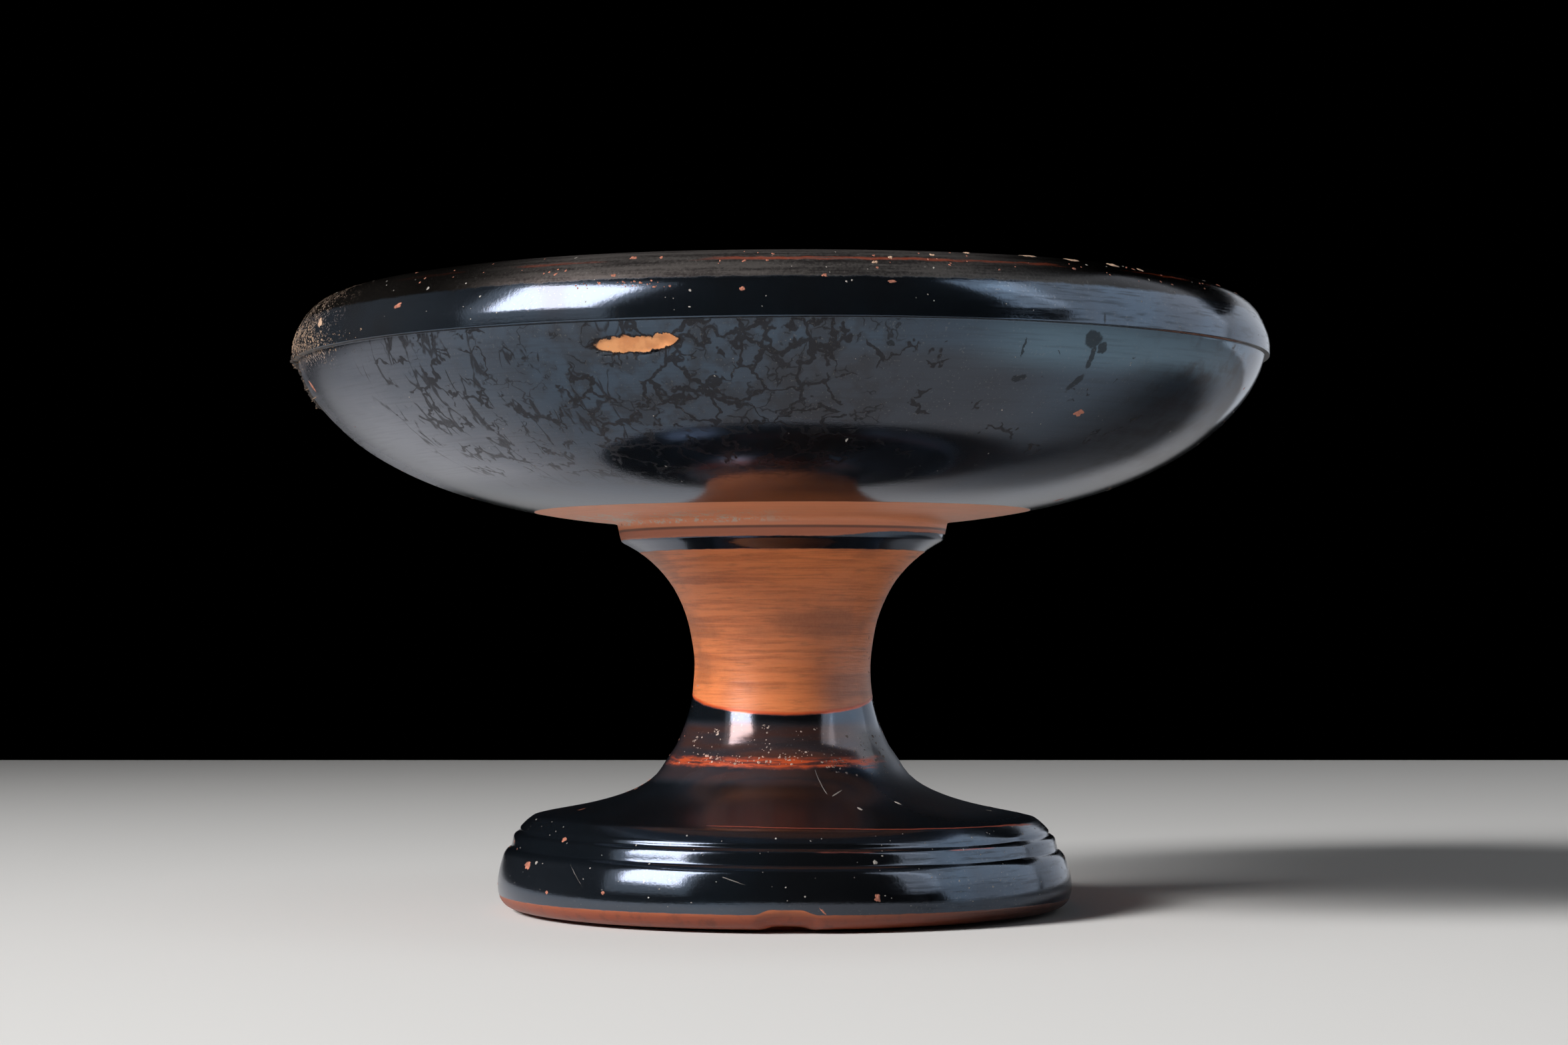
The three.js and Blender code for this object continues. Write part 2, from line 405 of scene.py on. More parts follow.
def fill_mesh(mesh, points, quads, triangles):
    """Puts vertices, quads and triangles into an empty mesh as whole arrays."""
    mesh.vertices.add(len(points))
    mesh.vertices.foreach_set("co", points.astype(np.float32).ravel())
    mesh.loops.add(quads.size + triangles.size)
    corners = np.concatenate([quads.ravel(), triangles.ravel()]).astype(np.int32)
    mesh.loops.foreach_set("vertex_index", corners)
    mesh.polygons.add(len(quads) + len(triangles))
    starts = np.concatenate([
        np.arange(len(quads)) * 4, quads.size + np.arange(len(triangles)) * 3
    ]).astype(np.int32)
    mesh.polygons.foreach_set("loop_start", starts)
    mesh.polygons.foreach_set("use_smooth", np.ones(len(starts), bool))
    mesh.update(calc_edges=True)
    mesh.validate()


def store(mesh, name, kind, key, values):
    """Puts a value for each vertex into a new attribute of a mesh."""
    attribute = mesh.attributes.new(name, kind, "POINT")
    attribute.data.foreach_set(key, values.astype(np.float32).ravel())


RING_OUT = (0.0, 0.65, 1.0, 1.06, 0.0)  # rings of a patch, as shares of its half size
RING_UP = (1.0, 0.85, 0.15)  # height of the upper three, as shares of the patch's lift
RING_DOWN = (-0.12, -0.2)  # height of the lower two, in millimetres
ROUND = 11  # points round a ring


def patches(shape, marks, lifts, tints, seed):
    """Small crusts and chips that lie on the vessel, as points, quads, triangles and tints.

    Each is a ragged oval in arc length and height, laid on the worn surface: its rings run from
    the middle of its domed top, down to its edge, then under the surface to a middle below,
    which closes it. The edge wanders by three random waves, and the top by small random steps.
    """
    chance = np.random.default_rng(seed)
    r_row, h_row, side_row, along_row = profile_rows(shape)
    outer = side_row == OUTSIDE
    crest = along_row[outer][-1]
    mark = np.array(marks, float)[:, :, None, None]
    bearing, height, length, rise, tilt = (mark[:, k] for k in range(5))
    n = len(marks)
    a = np.linspace(0, 2 * math.pi, ROUND, endpoint=False)[None, None, :]
    waves = sum(
        chance.uniform(0.06, 0.22, (n, 1, 1)) * np.cos(k * a + chance.uniform(0, 6.3, (n, 1, 1)))
        for k in (2, 3, 5)
    )
    out = np.array(RING_OUT)[None, :, None] * (1 + waves)
    u, v = out * np.cos(a) * length / 2, out * np.sin(a) * rise / 2
    t = np.radians(tilt)
    u, v = u * np.cos(t) - v * np.sin(t), v * np.cos(t) + u * np.sin(t)
    start = np.interp(height, h_row[outer], along_row[outer])
    radius = np.interp(start, along_row, r_row)
    high = height + v
    along = np.interp(high, h_row[outer], along_row[outer])
    over = np.clip(high - h_row[outer].max(), 0, None)
    along = np.where(over > 0, crest + over * 3, along)
    points, normals = vessel_points(shape, bearing + np.degrees(u / radius), along)
    lift = np.array(lifts, float).reshape(n, 1, 1)
    up = np.concatenate([
        lift * np.array(RING_UP)[None, :, None] * chance.uniform(0.6, 1.4, (n, 3, ROUND)),
        *(np.full((n, 1, ROUND), down) for down in RING_DOWN),
    ], 1)
    up[:, 0] = up[:, 0, :1]
    points = points + normals * up[..., None]
    ring = points[:, 1:4].reshape(n, -1, 3)
    poles = points[:, [0, 4], 0]
    size = 3 * ROUND + 2
    quads, fans = grid_faces(3, ROUND)
    quads, fans = np.roll(quads[:, ::-1], 2, axis=1), fans[:, [1, 0, 2]]
    shift = (np.arange(n) * size)[:, None, None]
    everything = np.concatenate([ring, poles], 1).reshape(-1, 3)
    tint = np.repeat(np.array(tints, float), size, axis=0)
    return everything * MM, (quads + shift).reshape(-1, 4), (fans + shift).reshape(-1, 3), tint


def scattered(seed, count, bearings_from, heights_from, sizes):
    """Marks strewn at random over a range of bearings and heights, mostly of the smaller sizes."""
    chance = np.random.default_rng(seed)
    rise = sizes[0] * (sizes[1] / sizes[0]) ** chance.uniform(0, 1, count) ** 1.6
    rows = zip(
        chance.uniform(*bearings_from, count), chance.uniform(*heights_from, count),
        rise * chance.uniform(1, 1.7, count), rise, chance.uniform(-30, 30, count),
    )
    return as_marks(*rows)


def gathered(seed, centres, count, spread, sizes):
    """Marks thrown round each of some centres, with the spread in degrees and millimetres."""
    chance = np.random.default_rng(seed)
    marks = scattered(seed, count * len(centres), (0, 1), (0, 1), sizes)
    around = np.repeat(np.array(centres, float), count, axis=0)
    around += chance.normal(0, 1, around.shape) * spread
    return [mark._replace(bearing=b, height=h) for mark, (b, h) in zip(marks, around)]


def crumbled(marks, seed):
    """Each mark broken into four smaller ones that overlap inside its oval."""
    chance = np.random.default_rng(seed)
    broken = []
    for mark in marks:
        for a in chance.uniform(0, 1.5) + np.arange(4) * math.pi / 2:
            out, share = chance.uniform(0.25, 0.6), chance.uniform(0.4, 0.65)
            around = math.degrees(out * math.cos(a) * mark.length / 2 / 75)
            up = out * math.sin(a) * mark.rise / 2 + math.radians(mark.tilt) * around
            broken.append(mark._replace(
                bearing=mark.bearing + around, height=mark.height + up,
                length=mark.length * share, rise=mark.rise * share,
            ))
    return broken


def new_piece(name, mesh, material):
    """A shown piece that rides on the one body and takes its finish from a slot."""
    piece = bpy.data.objects.new(name, mesh)
    bpy.context.scene.collection.objects.link(piece)
    mesh.materials.append(material)
    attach(piece, "root")
    return piece


# ---- Materials ----

def sum_of(operation, swapped=False):
    """A method that makes a Math node of a wire and another value."""

    def method(self, other):
        return self.paint.maths(operation, *((other, self) if swapped else (self, other)))

    return method


class Wire:
    """The output of a shader node. Sums written with wires become Math nodes."""

    def __init__(self, paint, socket):
        self.paint, self.socket = paint, socket

    __add__ = __radd__ = sum_of("ADD")
    __sub__, __rsub__ = sum_of("SUBTRACT"), sum_of("SUBTRACT", swapped=True)
    __mul__ = __rmul__ = sum_of("MULTIPLY")
    __truediv__ = sum_of("DIVIDE")


class Paint:
    """A material with a Principled shader, and short calls that add nodes to it."""

    def __init__(self, name):
        self.material = bpy.data.materials.new(name)
        self.material.use_nodes = True
        self.tree = self.material.node_tree
        self.shader = self.tree.nodes["Principled BSDF"]

    def node(self, kind, **settings):
        made = self.tree.nodes.new("ShaderNode" + kind)
        for key, value in settings.items():
            setattr(made, key, value)
        return made

    def feed(self, socket, value):
        """Sets a socket to a number or a colour, or links a wire to it."""
        if isinstance(value, Wire):
            self.tree.links.new(value.socket, socket)
        elif isinstance(value, (int, float)):
            socket.default_value = value
        else:
            size = len(socket.default_value)
            socket.default_value = (*value, 1.0)[:size]

    def maths(self, operation, *values):
        made = self.node("Math", operation=operation)
        for socket, value in zip(made.inputs, values):
            self.feed(socket, value)
        return Wire(self, made.outputs[0])

    def least(self, *values):
        return reduce(lambda a, b: self.maths("MINIMUM", a, b), values)

    def most(self, *values):
        return reduce(lambda a, b: self.maths("MAXIMUM", a, b), values)

    def size(self, value):
        """The value without its sign."""
        return self.maths("ABSOLUTE", value)

    def ease(self, value, start, end, low=0.0, high=1.0):
        """Rises smoothly from low at start to high at end."""
        made = self.node("MapRange", interpolation_type="SMOOTHSTEP")
        for socket, number in zip(made.inputs, (value, start, end, low, high)):
            self.feed(socket, number)
        return Wire(self, made.outputs[0])

    def band(self, value, middle, half, soft):
        """1 within half of the middle, easing to 0 over a soft edge."""
        return self.ease(self.size(value - middle), half + soft, half)

    def between(self, value, start, full, fading, end):
        """Rises from 0 at start to 1 at full, and falls again from fading to 0 at end."""
        return self.ease(value, start, full) * self.ease(value, end, fading)

    def join(self, x, y, z):
        made = self.node("CombineXYZ")
        for socket, value in zip(made.inputs, (x, y, z)):
            self.feed(socket, value)
        return Wire(self, made.outputs[0])

    def split(self, vector):
        made = self.node("SeparateXYZ")
        self.feed(made.inputs[0], vector)
        return [Wire(self, socket) for socket in made.outputs]

    def vector(self, operation, a, b=None, scale=None):
        made = self.node("VectorMath", operation=operation)
        self.feed(made.inputs[0], a)
        if b is not None:
            self.feed(made.inputs[1], b)
        if scale is not None:
            self.feed(made.inputs["Scale"], scale)
        return Wire(self, made.outputs["Value" if operation == "LENGTH" else "Vector"])

    def noise(self, place, size, detail=3.0, rough=0.55, colour=False):
        """Clouds with lumps of about the given size."""
        made = self.node("TexNoise")
        self.feed(made.inputs["Vector"], place)
        made.inputs["Scale"].default_value = 1 / size
        made.inputs["Detail"].default_value = detail
        made.inputs["Roughness"].default_value = rough
        return Wire(self, made.outputs["Color" if colour else "Fac"])

    def strayed(self, place, size, reach, detail=3.0, rough=0.55):
        """The place moved by up to about half the reach, each way at random."""
        made = self.node("SeparateColor")
        self.feed(made.inputs[0], self.noise(place, size, detail, rough, colour=True))
        steps = [(Wire(self, socket) - 0.5) * reach for socket in made.outputs]
        return self.vector("ADD", place, self.join(*steps))

    def cell_edge(self, place, size):
        """Distance to the nearest edge between scattered cells of about the given size."""
        made = self.node("TexVoronoi", feature="DISTANCE_TO_EDGE")
        self.feed(made.inputs["Vector"], place)
        made.inputs["Scale"].default_value = 1 / size
        return Wire(self, made.outputs["Distance"]) * size

    def mix(self, share, a, b):
        """Colour a where share is 0 and b where it is 1."""
        made = self.node("Mix", data_type="RGBA")
        self.feed(made.inputs[0], share)
        self.feed(made.inputs[6], a)
        self.feed(made.inputs[7], b)
        return Wire(self, made.outputs[2])

    def coats(self, colour, *layers):
        """A colour with others laid over it in turn, each given as its share and its colour."""
        for share, layer in layers:
            colour = self.mix(share, colour, layer)
        return colour

    def blend(self, share, a, b):
        """Number a where share is 0 and b where it is 1."""
        made = self.node("Mix", data_type="FLOAT")
        for socket, value in zip(made.inputs[:1] + made.inputs[2:4], (share, a, b)):
            self.feed(socket, value)
        return Wire(self, made.outputs[0])

    def raised(self, height, depth):
        """A bump of the given depth in metres."""
        made = self.node("Bump")
        made.inputs["Distance"].default_value = depth
        self.feed(made.inputs["Height"], height)
        return Wire(self, made.outputs[0])


FAR_OUT = 9.0  # stands for a place far from every mark
MARK_DEPTH = 3  # how deep a mark reaches into the wall and out of it, in millimetres


def nearest(p, place, marks, shape):
    """How far out of the nearest mark a place is: under 1 inside, in shares of its half size."""
    radius, height, side, _ = profile_rows(shape)
    outer = side == OUTSIDE
    least = FAR_OUT
    for mark in marks:
        r = float(np.interp(mark.height, height[outer], radius[outer]))
        b = math.radians(mark.bearing)
        oval = p.node("Mapping", vector_type="TEXTURE")
        oval.inputs["Location"].default_value = (r * math.sin(b), -r * math.cos(b), mark.height)
        oval.inputs["Rotation"].default_value = (0, -math.radians(mark.tilt), b)
        oval.inputs["Scale"].default_value = (mark.length / 2, MARK_DEPTH, mark.rise / 2)
        p.feed(oval.inputs["Vector"], place)
        least = p.least(least, p.vector("LENGTH", Wire(p, oval.outputs[0])))
    return least


# What the paint and the wear keep to: heights and radii in millimetres
STEM_SLIP, STEM_DIP = 39.9, 3.3  # top of the slip on the stem, and how far it dips in front
FOOT_SLIP, FOOT_WAVE = 2.75, 0.6  # lower edge of the slip on the foot, and its slow wave
BAND_LOW, BAND_HIGH = 66.4, 68.6  # the black band under the collar
COLLAR_RING = 70.3  # the dark line round the collar
DISC_RADIUS = 46.4  # the bare disc where the stem meets the bowl
WIPED_HEIGHT, RIDGE_HEIGHT, CREST_HEIGHT = 27.8, 13.8, 111.4  # lines wiped or worn to red
HAIRLINE_RADIUS, HAIRLINE_SLANT = 44.6, 0.04  # the red hairline on top of the foot
RUBBED_HEIGHT = 107.9  # where the rubbed top of the lip starts
DEEP_IN = 5.0  # well inside the painted part


def vessel_fields(p):
    """Where a point of the vessel lies, and the noises that its finish is made of."""
    f = SimpleNamespace()
    f.place = p.vector("SCALE", Wire(p, p.node("TexCoord").outputs["Object"]), scale=1 / MM)
    f.x, f.y, _ = p.split(f.place)
    turned = Wire(p, p.node("Attribute", attribute_name="turned").outputs["Vector"])
    f.radius, f.height, f.side = p.split(turned)
    f.along = Wire(p, p.node("Attribute", attribute_name="along").outputs["Fac"])
    f.turn = p.maths("ARCTAN2", f.x, 0 - f.y)
    f.bearing = p.maths("DEGREES", f.turn)
    f.outside = p.ease(f.side, 0.5, 0.3)
    f.on_bowl = p.between(f.height, 76, 80, STEP_HEIGHT - 0.1, STEP_HEIGHT) * f.outside

    def drawn_out(squeeze, size, across=f.along, **look):
        """Clouds drawn out round the vessel, as the wheel leaves them."""
        return p.noise(p.join(f.x * squeeze, f.y * squeeze, across), size, **look)

    f.streaks = drawn_out(0.05, 1.1, detail=5, rough=0.7)
    f.broad_streaks = drawn_out(0.12, 4.5)
    f.hair_streaks = drawn_out(0.04, 0.45)
    f.dashes = drawn_out(0.3, 1.6, f.along * 2.2)
    f.brushed = drawn_out(0.1, 3.5, f.height * 1.1)
    f.clouds = p.noise(f.place, 16)
    f.lumps = p.noise(f.place, 3.2, detail=4, rough=0.6)
    f.grain = p.noise(f.place, 0.55, rough=0.6)
    f.speck = p.noise(f.place, 0.4, detail=1)
    f.ragged = p.strayed(f.place, 1.3, 1.5, detail=4, rough=0.65)
    f.rise_ragged = f.height + (f.lumps - 0.5) * 0.7
    return f


def slip_cover(p, f):
    """Where the black slip lies, from 0 on bare clay to 1 under it, and its red fringe.

    The slip runs from the foot's edge to a dipping line on the stem, again in a band under the
    collar, and from the bare disc over the bowl and its inside; nothing is painted beneath.
    """
    stem_edge = STEM_SLIP - p.maths("COSINE", f.turn - math.radians(3)) * STEM_DIP
    foot_edge = FOOT_SLIP + p.maths("COSINE", f.turn + math.radians(10)) * FOOT_WAVE
    foot_edge = foot_edge + p.band(f.bearing, FOOT_CHIP["bearing"], 2.5, 3.5) * 0.9
    creep = p.ease(f.bearing, 15, 40) * 0.9
    inside = p.most(
        p.least(stem_edge - f.height, f.height - foot_edge),
        p.least(BAND_HIGH + creep - f.height, f.height - BAND_LOW),
        p.least(f.radius - DISC_RADIUS, f.height - 71),
    )
    inside = p.blend(p.ease(f.side, 0.2, 0.8), inside, DEEP_IN)
    inside = p.blend(p.ease(f.side, -0.2, -0.8), inside, -DEEP_IN)
    inside = inside + (f.lumps - 0.5) * 0.35 + (f.streaks - 0.5) * 0.2
    fringe = p.band(inside, -0.05, 0.05, 0.45) * p.between(f.height, 20, 30, 42, 50)
    return p.ease(inside, -0.12, 0.12), fringe


def bare_clay(p, f, finish):
    """Clay with the marks of the wheel, paler on the collar, with painted shade in the collar's
    undercut, darker towards the foot's edge, and painted shade low on the foot's right among darker
    patches.
    """
    on_collar = p.ease(f.height, 67, 69)
    dusty = p.band(f.height, 72, 0.6, 0.5) * p.ease(f.lumps + (f.grain - 0.5) * 0.9, 0.5, 0.62)
    # painted shade: the lowest clay of the foot darker on its right side, away from the key light, and
    # in patches all round
    low_right_shade_and_patches = p.most(p.ease(f.bearing, 10, 50), p.ease(f.lumps, 0.5, 0.7) * 0.5) * p.ease(f.height, 5, 2)
    patchy = p.ease(f.clouds + (f.broad_streaks - 0.5) * 0.6, 0.48, 0.7)
    return p.coats(
        finish.clay,
        (p.ease(f.streaks, 0.42, 0.72), (0.46, 0.12, 0.04)),
        (p.ease(f.dashes, 0.52, 0.75) * 0.4, (0.24, 0.075, 0.03)),
        (patchy * 0.6, (0.3, 0.09, 0.038)),
        (p.ease(f.hair_streaks, 0.6, 0.75) * 0.3, (0.15, 0.045, 0.02)),
        (p.ease(f.grain, 0.3, 0.7) * 0.12, finish.fresh_clay),
        (on_collar * 0.8, (0.7, 0.27, 0.14)),
        # painted shade: darker clay in the undercut below the collar
        (p.ease(f.height, 70.6, 70) * on_collar * 0.7, (0.36, 0.1, 0.048)),
        (p.band(f.height, COLLAR_RING, 0.1, 0.25) * 0.8, (0.08, 0.03, 0.018)),
        (dusty * p.ease(f.bearing, 10, -20), (0.55, 0.42, 0.33)),
        # darker towards the bottom of the foot
        (p.ease(f.height, 6, 2), (0.22, 0.047, 0.02)),
        (low_right_shade_and_patches, (0.07, 0.02, 0.011)),
    )


def thin_slip(p, f):
    """Where the slip was brushed on thin over the flare of the foot."""
    upper = p.band(f.height, 31.3, 2.1, 2.4) * p.ease(f.brushed, 0.2, 0.6) * 0.85
    lower = p.band(f.height, 25.8, 0.5, 2) * p.ease(f.brushed, 0.1, 0.6) * p.ease(f.bearing, 22, 0)
    return p.most(upper, lower * 0.55) * p.band(f.bearing, -15, 45, 50)


def red_lines(p, f):
    """Lines where the slip was wiped or worn to red: on the flare, the foot and the lip's crest."""
    wiped = p.band(f.height + (f.lumps - 0.5) * 1.2, WIPED_HEIGHT, 0.35, 0.9)
    broken = p.ease(f.dashes + (f.clouds - 0.5) * 0.6, 0.3, 0.62)
    wiped = wiped * p.band(f.bearing, -10, 55, 20) * broken
    slanted = f.bearing * HAIRLINE_SLANT + HAIRLINE_RADIUS
    hairline = p.band(f.radius + (f.lumps - 0.5) * 0.6, slanted, 0.06, 0.3)
    hairline = hairline * p.between(f.bearing, -19, -15, 66, 74) * p.band(f.height, 17, 1, 0.5)
    ridge = p.band(f.height, RIDGE_HEIGHT, 0.04, 0.14) * p.ease(f.dashes, 0.4, 0.55)
    ridge = ridge * p.band(p.size(f.bearing - 27), 14.5, 4, 3)
    crest = p.band(f.rise_ragged, CREST_HEIGHT, 0.08, 0.3) * p.band(f.bearing, 0, 55, 20)
    crest = crest * p.ease(f.streaks + (f.clouds - 0.5), 0.42, 0.6)
    crest = crest * f.outside * p.ease(f.bearing, -12, 0, 0.45, 1.0)
    crest = crest * p.ease(f.bearing, -55, -25)
    return p.most(wiped, hairline * 0.9, ridge * 0.45, crest * 0.45)


def root_marks(p, f):
    """Branching lines that roots etched into the bowl's slip, and the patina round them.

    They are the edges of three sets of crooked cells, wide where a slow noise is high, and
    fading out where it is low; the set on the left is drawn out upwards.
    """
    crooked = p.strayed(f.place, 5, 9)
    elsewhere = p.vector("ADD", crooked, (0, 30, 0))
    reach = p.noise(f.place, 7)
    fine_reach = p.noise(p.vector("ADD", f.place, (50, 0, 0)), 5, detail=2)
    middle = p.band(f.bearing, -8, 12, 16)
    left = p.band(f.bearing, -36, 10, 16)
    shade = p.most(middle, left * 0.75, p.band(f.bearing, 0, 30, 30) * 0.45)
    upright = p.strayed(p.join(f.x / f.radius * 85, f.y / f.radius * 85, f.along * 0.33), 5, 5)

    def lines(place, size, width, outer, inner, faint, full):
        """Lines along the cells' edges that ease out from inner within the width to outer."""
        edge = p.cell_edge(place, size)
        return p.ease(edge, width + outer, width - inner) * p.ease(width, faint, full)

    root_width = p.ease(reach, 0.66 - shade * 0.3, 0.8 - shade * 0.28) * 0.42
    rootlet_width = p.ease(fine_reach, 0.44, 0.64) * 0.24 * p.most(middle, left * 0.5)
    strand_width = p.ease(reach, 0.4, 0.62) * 0.26 * left
    marks = p.most(
        lines(crooked, 7.5, root_width, 0.1, 0.14, 0.04, 0.16),
        lines(elsewhere, 4.2, rootlet_width, 0.08, 0.1, 0.03, 0.12) * 0.85,
        lines(upright, 4.2, strand_width, 0.08, 0.1, 0.03, 0.12) * 0.9,
    )
    patina = p.ease(fine_reach + (f.lumps - 0.5) * 0.7, 0.4, 0.62) * middle
    return marks * f.on_bowl, patina * f.on_bowl


def slip_film(p, f, finish, patina, haze_and_sheen, abraded):
    """The mirror colour of the slip: blue where its skin is whole, greyer where it has worn, and
    brighter in places as painted reflection and sheen.
    """
    height, bearing, on_bowl = f.height, f.bearing, f.on_bowl
    grey_zone = p.band(bearing, 14, 10, 14) * p.ease(height, 99, 95)
    browned = p.ease(f.broad_streaks + (f.lumps - 0.5) * 0.9, 0.4, 0.7) * p.ease(bearing, 38, 58)
    return p.coats(
        finish.gloss,
        (p.most(p.ease(f.clouds, 0.42, 0.66) * 0.5, grey_zone * 0.8), (0.062, 0.066, 0.078)),
        (patina * 0.5, (0.045, 0.043, 0.045)),
        (p.ease(f.lumps + (f.grain - 0.5) * 0.5, 0.5, 0.8) * 0.2, (0.04, 0.042, 0.048)),
        # painted reflection: a bluer, brighter mirror band high on the bowl's right, just under the lip
        (p.band(bearing, 45, 14, 14) * p.band(height, 98.5, 1, 5) * on_bowl * 0.7, (0.15, 0.235, 0.31)),
        # painted sheen over the haze: a brighter mirror colour that lightens the reflections on the
        # left, most of all low on the bowl
        (haze_and_sheen, (0.17, 0.183, 0.22)),
        (haze_and_sheen * p.ease(height, 97, 85) * on_bowl, (0.33, 0.345, 0.39)),
        # painted reflection: a brighter mirror low on the bowl's right
        (p.ease(bearing, 30, 60) * p.ease(height, 92, 82) * on_bowl * 0.5, (0.21, 0.215, 0.235)),
        # painted reflection: a brighter mirror at the foot's lowest edge, in front and on the left
        (p.ease(height, 5.5, 4) * p.ease(bearing, 15, -15) * 0.5, (0.15, 0.165, 0.195)),
        (p.ease(f.hair_streaks + f.streaks, 0.95, 1.3) * on_bowl * 0.25, (0.045, 0.05, 0.058)),
        (abraded * 0.6, (0.028, 0.034, 0.042)),
        (p.ease(bearing, 10, 35) * p.ease(height, 9, 7) * 0.4, (0.02, 0.025, 0.035)),
        (browned * on_bowl * 0.6, (0.045, 0.036, 0.036)),
    )


def pottery(finish, shape):
    """The skin of the vessel: bare clay, the black slip painted over it, and its wear."""
    p = Paint("black_gloss_pottery")
    f = vessel_fields(p)
    height, bearing, lumps, grain, speck = f.height, f.bearing, f.lumps, f.grain, f.speck
    slip, fringe = slip_cover(p, f)
    thin = thin_slip(p, f)
    red = p.most(fringe, red_lines(p, f))
    etched, patina = root_marks(p, f)
    stained = p.ease(nearest(p, f.ragged, DARK_STAINS, shape), 1.05, 0.8)
    on_lip = p.ease(height, STEP_HEIGHT, STEP_HEIGHT + 0.5)

    # Wear of the slip: a haze on the left under a painted sheen, dulled and abraded mouldings,
    # grime on the flare, painted shade in the corner under the lip with soil packed in it on the right,
    # and the lip's rubbed top, with a painted sheen in its middle
    haze_and_sheen_zone = p.most(f.on_bowl, p.band(height, 67.6, 1.2, 0.3), p.band(height, 6, 4, 1) * 0.35)
    haze_and_sheen = p.ease(bearing, -24, -62) * haze_and_sheen_zone * p.ease(f.streaks + (f.clouds - 0.5), 0.15, 0.75, 0.6, 1.0)
    dulled = p.ease(bearing, -28, -52) * on_lip * f.outside
    abraded = p.most(p.ease(height, 18, 16), on_lip) * p.ease(bearing, 12, 32) * f.outside
    abraded = abraded * p.ease(f.dashes + (f.hair_streaks - 0.5) * 0.8, 0.48, 0.72)
    grimy = p.band(height, 26, 6, 3) * p.between(bearing, 36, 56, 120, 150)
    # painted shade: the corner under the lip is dark and matt all round, and brown with soil on the
    # right
    crease = p.band(height, STEP_HEIGHT + 0.07, 0.05, 0.03) * f.outside
    crease_shade_and_soil = p.mix(p.between(bearing, 40, 50, 58, 66), (0.012, 0.012, 0.013), (0.16, 0.06, 0.03))
    rubbed = p.ease(f.rise_ragged + (grain - 0.5) * 0.5, RUBBED_HEIGHT, RUBBED_HEIGHT + 0.5)
    rubbed = rubbed * p.ease(f.side, 0.9, 0.4)
    # painted sheen: the middle of the rubbed top, in front, is lighter as if lit from above; both ends
    # are near black
    sheen_and_dull_middle = p.band(bearing, -2, 18, 24)
    streaky_top = p.ease(f.streaks + (grain - 0.5) * 0.5, 0.35, 0.7)
    rubbed_top_and_sheen = p.mix(streaky_top, (0.09, 0.084, 0.08), (0.02, 0.018, 0.018))
    rubbed_top_and_sheen = p.mix(sheen_and_dull_middle, (0.011, 0.01, 0.009), rubbed_top_and_sheen)
    gloss = p.coats(
        slip_film(p, f, finish, patina, haze_and_sheen, abraded),
        (etched * 0.85, finish.worn_gloss),
        (stained * 0.8, (0.025, 0.028, 0.032)),
        (thin, finish.thin_gloss),
        (grimy * 0.75, (0.018, 0.017, 0.018)),
        (crease, crease_shade_and_soil),
        (rubbed, rubbed_top_and_sheen),
    )

    # Soil and crust on the left end, the bare floor of the lost flake with painted shade round its rim,
    # and dust
    left_end = p.between(bearing, -150, -110, -66, -50) * p.ease(height, 96, 101) * f.outside
    powdery = speck * 0.9 + lumps * 0.5 + f.clouds * 0.2
    soil = p.ease(powdery, 1.02 - left_end * 0.19, 1.12 - left_end * 0.17) * left_end
    crust = p.between(bearing, -150, -110, -84, -74) * p.band(height, 97, 5, 2)
    crust = crust * p.ease(lumps, 0.4, 0.5) * f.outside
    far_out = nearest(p, f.ragged, BARE_PATCHES, shape)
    patch = p.ease(far_out, 1.04, 0.92)
    dust = p.ease(speck + (lumps - 0.5) * 0.3, 0.66, 0.76)
    colour = p.coats(
        p.mix(slip, bare_clay(p, f, finish), gloss),
        (red * 0.9, finish.fringe),
        (soil * 0.8, p.mix(p.ease(speck, 0.45, 0.6), (0.07, 0.05, 0.04), finish.earth)),
        (crust, (0.018, 0.016, 0.015)),
        # painted shade: a dark rim round the bare floor of the lost flake
        ((p.ease(far_out, 1.25, 1.1) - patch) * 0.8, (0.02, 0.014, 0.012)),
        (patch, p.mix(p.ease(lumps, 0.4, 0.65), finish.fresh_clay, (0.62, 0.24, 0.085))),
        (dust * 0.12 * slip, (0.4, 0.38, 0.36)),
        (dulled * 0.2, (0.11, 0.098, 0.09)),
    )

    bare = p.most(dulled * 0.12, 1 - slip, red * 0.7, soil, patch, crust, crease * 0.8)
    metal = (1 - bare) * (1 - thin * 0.8) * (0.93 - rubbed * sheen_and_dull_middle * 0.5 - haze_and_sheen * 0.1)
    rough = p.blend(bare, 0.11 + (grain - 0.5) * 0.06, 0.41) + etched * 0.18 + stained * 0.1
    rough = rough + grimy * 0.25 + abraded * 0.1 + p.band(height, 21, 3, 3) * 0.12
    rough = p.most(rough, rubbed * (0.16 + sheen_and_dull_middle * 0.32)) + haze_and_sheen * p.ease(bearing, -60, -80) * 0.25
    wheel = (f.streaks + f.hair_streaks * 0.4) * (1 - slip * 0.95)
    peel = lumps * 0.25 + grain * 0.45 + grain * 0.5 * bare + f.streaks * 0.12
    relief = wheel * 0.12 + peel * 0.02 + slip * 0.06 + soil * (0.5 + grain) * 0.15
    for socket, value in (
        ("Base Color", colour), ("Metallic", metal), ("Roughness", rough),
        ("Specular Tint", (0.95, 0.955, 1)), ("Coat Weight", thin * (1 - bare)),
        ("Coat Roughness", 0.1), ("Normal", p.raised(relief, MM)),
    ):
        p.feed(p.shader.inputs[socket], value)
    return p.material


